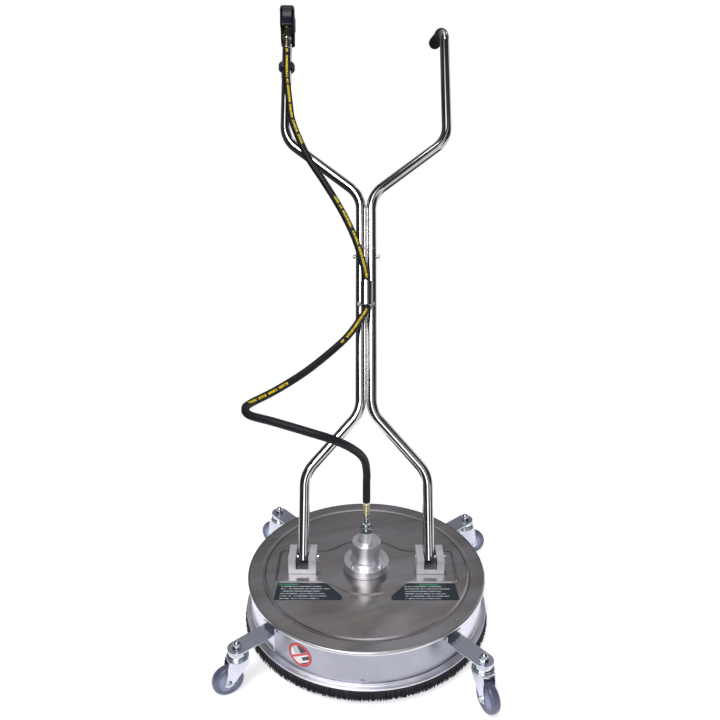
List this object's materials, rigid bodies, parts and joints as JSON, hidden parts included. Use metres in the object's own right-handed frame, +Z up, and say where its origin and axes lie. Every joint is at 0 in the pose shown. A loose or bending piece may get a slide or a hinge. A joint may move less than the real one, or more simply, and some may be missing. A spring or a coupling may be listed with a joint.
{
  "type": "surface cleaner",
  "caption": "Walk-behind rotary surface cleaner: round steel deck on swivel casters with a brush skirt, a water-driven spray bar, and a tilting handle with a trigger gun and hose.",
  "frame": {"origin": "on the floor, under the middle of the bounding box (without the hose)", "axes": "+Z up, +Y back towards the operator, +X to the left of an operator who stands behind the handle (viewer's right from the front)"},
  "size_m": [0.6264, 1.2036, 1.3579],
  "materials": {
    "satin_steel": "satin brushed stainless steel",
    "polished_steel": "polished stainless tube",
    "zinc": "bright zinc plate",
    "satin_aluminium": "satin turned or milled",
    "hard_steel": "ground",
    "brass": "machined, partly plated",
    "bristle_black": "nylon bristle",
    "rubber_black": "smooth rubber",
    "plastic_black": "moulded, satin",
    "wheel_grey": "solid grey rubber tyre"
  },
  "bodies": {
    "deck": {"deck_cover": "satin_steel", "side_band": "satin_steel", "skirt_ring": "satin_steel", "brush_skirt": "bristle_black", "leg_fl": "zinc", "leg_fr": "zinc", "leg_rl": "zinc", "leg_rr": "zinc", "dome_nut_fl": "zinc", "dome_nut_fr": "zinc", "dome_nut_rl": "zinc", "dome_nut_rr": "zinc", "swivel_head_fl": "zinc", "swivel_head_fr": "zinc", "swivel_head_rl": "zinc", "swivel_head_rr": "zinc", "hub_housing": "satin_aluminium", "bearing_lower": "hard_steel", "bearing_upper": "hard_steel", "shaft_seal": "rubber_black", "inlet_adapter": "zinc", "hose_end_lower": "brass", "pivot_block_left": "satin_aluminium", "pivot_block_right": "satin_aluminium", "pivot_pin_left": "zinc", "pivot_pin_right": "zinc"},
    "rotor": {"rotor_shaft": "hard_steel", "spray_bar": "zinc", "nozzle_a": "brass", "nozzle_b": "brass"},
    "handle": {"tube_lower_left": "polished_steel", "tube_lower_right": "polished_steel", "tube_upper_left": "polished_steel", "tube_upper_right": "polished_steel", "grip_right": "rubber_black", "hose_guide": "satin_aluminium", "gun_clamp": "rubber_black", "gun_shell_left": "plastic_black", "gun_shell_right": "plastic_black", "valve_body": "brass", "outlet_fitting": "brass", "inlet_connector": "brass", "hose": "rubber_black"},
    "thumb_left": {"thumb_screw_left": "zinc"},
    "thumb_right": {"thumb_screw_right": "zinc"},
    "trigger": {"trigger": "plastic_black"},
    "lock": {"trigger_lock": "zinc"},
    "caster_fl": {"fork_fl": "zinc", "axle_fl": "zinc"},
    "wheel_fl": {"wheel_fl": "wheel_grey"},
    "caster_fr": {"fork_fr": "zinc", "axle_fr": "zinc"},
    "wheel_fr": {"wheel_fr": "wheel_grey"},
    "caster_rl": {"fork_rl": "zinc", "axle_rl": "zinc"},
    "wheel_rl": {"wheel_rl": "wheel_grey"},
    "caster_rr": {"fork_rr": "zinc", "axle_rr": "zinc"},
    "wheel_rr": {"wheel_rr": "wheel_grey"}
  },
  "joints": [
    {"name": "handle_tilt", "type": "hinge", "parent": "deck", "child": "handle", "pos_m": [-0.0014, -0.289, 0.1528], "axis": [1, 0, 0], "range_deg": [0, 62], "deforming": ["hose"]},
    {"name": "rotor_spin", "type": "hinge", "parent": "deck", "child": "rotor", "pos_m": [-0.0014, -0.289, 0.0645], "axis": [0, 0, 1], "continuous": true},
    {"name": "swivel_fl", "type": "hinge", "parent": "deck", "child": "caster_fl", "pos_m": [-0.25983, -0.51604, 0.083], "axis": [0, 0, 1], "continuous": true},
    {"name": "roll_fl", "type": "hinge", "parent": "caster_fl", "child": "wheel_fl", "pos_m": [-0.28141, -0.52656, 0.0325], "axis": [0.4384, -0.8988, 0], "continuous": true},
    {"name": "swivel_fr", "type": "hinge", "parent": "deck", "child": "caster_fr", "pos_m": [0.22564, -0.54744, 0.083], "axis": [0, 0, 1], "continuous": true},
    {"name": "roll_fr", "type": "hinge", "parent": "caster_fr", "child": "wheel_fr", "pos_m": [0.23502, -0.56953, 0.0325], "axis": [0.9205, 0.3907, 0], "continuous": true},
    {"name": "swivel_rl", "type": "hinge", "parent": "deck", "child": "caster_rl", "pos_m": [-0.22844, -0.03056, 0.083], "axis": [0, 0, 1], "continuous": true},
    {"name": "roll_rl", "type": "hinge", "parent": "caster_rl", "child": "wheel_rl", "pos_m": [-0.24923, -0.01857, 0.0325], "axis": [-0.5, -0.866, 0], "continuous": true},
    {"name": "swivel_rr", "type": "hinge", "parent": "deck", "child": "caster_rr", "pos_m": [0.25704, -0.06196, 0.083], "axis": [0, 0, 1], "continuous": true},
    {"name": "roll_rr", "type": "hinge", "parent": "caster_rr", "child": "wheel_rr", "pos_m": [0.28022, -0.05575, 0.0325], "axis": [-0.2588, 0.9659, 0], "continuous": true},
    {"name": "thumb_turn_left", "type": "hinge", "parent": "handle", "child": "thumb_left", "pos_m": [-0.0142, 0.083, 0.76223], "axis": [1, 0, 0], "range_deg": [0, 180]},
    {"name": "thumb_turn_right", "type": "hinge", "parent": "handle", "child": "thumb_right", "pos_m": [0.0114, 0.083, 0.76223], "axis": [1, 0, 0], "range_deg": [0, 180]},
    {"name": "trigger_pull", "type": "hinge", "parent": "handle", "child": "trigger", "pos_m": [-0.20812, 0.42766, 1.30539], "axis": [0.9986, 0.0523, 0], "range_deg": [0, 16], "stiffness_Nm_per_rad": 0.4, "springref_deg": -8.59},
    {"name": "lock_slide", "type": "slide", "parent": "handle", "child": "lock", "axis": [-0.9986, -0.0523, 0], "range_m": [0, 0.004]}
  ]
}
